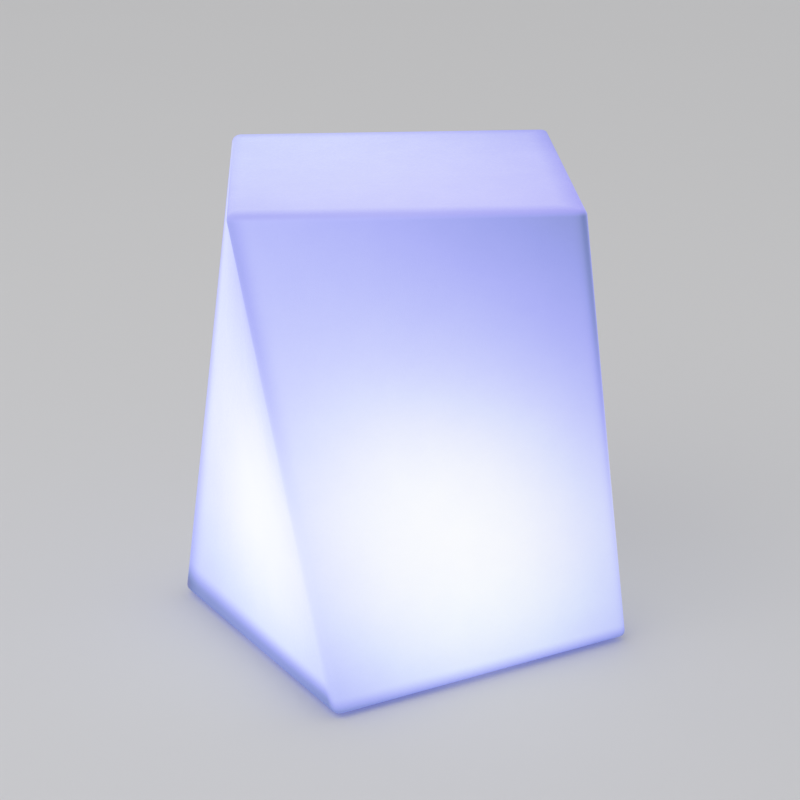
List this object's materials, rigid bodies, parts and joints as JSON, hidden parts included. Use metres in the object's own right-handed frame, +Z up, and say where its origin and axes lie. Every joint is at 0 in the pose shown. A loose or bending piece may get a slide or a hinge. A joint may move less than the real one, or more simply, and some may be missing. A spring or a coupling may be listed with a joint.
{
  "type": "light-up stool",
  "caption": "Hollow twisted square stool that glows from a light module in its base, with rubber feet, a push button and a covered charging socket underneath.",
  "frame": {"origin": "on the ground under the middle of the stool", "axes": "+Z up through the seat; the seat's sides lie along X and Y, and the base is turned 27.5 degrees anticlockwise from it, seen from above"},
  "size_m": [0.4042, 0.4042, 0.43],
  "materials": {
    "shell_plastic": "milky translucent polyethylene, lit from inside, almost white low down and periwinkle near the seat",
    "tray_plastic": "moulded white plastic",
    "frosted_plastic": "frosted diffuser plastic",
    "foot_rubber": "black rubber",
    "steel": "zinc-plated steel",
    "brass": "turned brass",
    "gasket_silicone": "grey silicone",
    "cap_silicone": "grey silicone",
    "button_silicone": "grey silicone",
    "black_plastic": "black moulded plastic",
    "connector_plastic": "off-white nylon",
    "circuit_board": "green solder resist",
    "aluminium": "aluminium-core board",
    "light_chip": "LED package with a clear face",
    "cell_sleeve": "shrink sleeve over a steel can",
    "red_lead": "sheathed pair of wires",
    "black_lead": "sheathed pair of wires"
  },
  "bodies": {
    "stool": {"battery_cell_1": "cell_sleeve", "battery_cell_2": "cell_sleeve", "battery_holder": "black_plastic", "battery_lead": "red_lead", "board_screw_1": "steel", "board_screw_2": "steel", "board_screw_3": "steel", "board_screw_4": "steel", "button_bezel": "black_plastic", "button_spring": "steel", "button_switch": "black_plastic", "charging_jack": "black_plastic", "control_board": "circuit_board", "controller_chip": "black_plastic", "diffuser_dome": "frosted_plastic", "foot_screw_1": "steel", "foot_screw_2": "steel", "foot_screw_3": "steel", "foot_screw_4": "steel", "jack_lead": "red_lead", "led_1": "light_chip", "led_2": "light_chip", "led_3": "light_chip", "led_4": "light_chip", "led_5": "light_chip", "led_6": "light_chip", "led_7": "light_chip", "led_8": "light_chip", "led_9": "light_chip", "led_board": "aluminium", "led_board_screw_1": "steel", "led_board_screw_2": "steel", "led_board_screw_3": "steel", "led_lead": "black_lead", "light_connector": "connector_plastic", "module_gasket": "gasket_silicone", "module_tray": "tray_plastic", "port_cap_anchor": "cap_silicone", "power_connector": "connector_plastic", "remote_receiver": "black_plastic", "rubber_foot_1": "foot_rubber", "rubber_foot_2": "foot_rubber", "rubber_foot_3": "foot_rubber", "rubber_foot_4": "foot_rubber", "seat_shell": "shell_plastic", "shell_insert_1": "brass", "shell_insert_2": "brass", "shell_insert_3": "brass", "shell_insert_4": "brass", "smoothing_capacitor": "black_plastic", "switch_lead": "black_lead", "tray_screw_1": "steel", "tray_screw_2": "steel", "tray_screw_3": "steel", "tray_screw_4": "steel"},
    "port_cover": {"port_cap": "cap_silicone"},
    "button": {"button_cap": "button_silicone"}
  },
  "joints": [
    {"name": "button_press", "type": "slide", "parent": "stool", "child": "button", "axis": [0, 0, 1], "range_m": [0, 0.0015], "stiffness_N_per_m": 800, "springref_m": -0.0015, "deforming": ["button_spring"]},
    {"name": "port_cover_fold", "type": "hinge", "parent": "stool", "child": "port_cover", "pos_m": [0.03336, -0.0295, 0.0269], "axis": [-1, 0, 0], "range_deg": [0, 150], "stiffness_Nm_per_rad": 0.002, "springref_deg": -11.46}
  ]
}
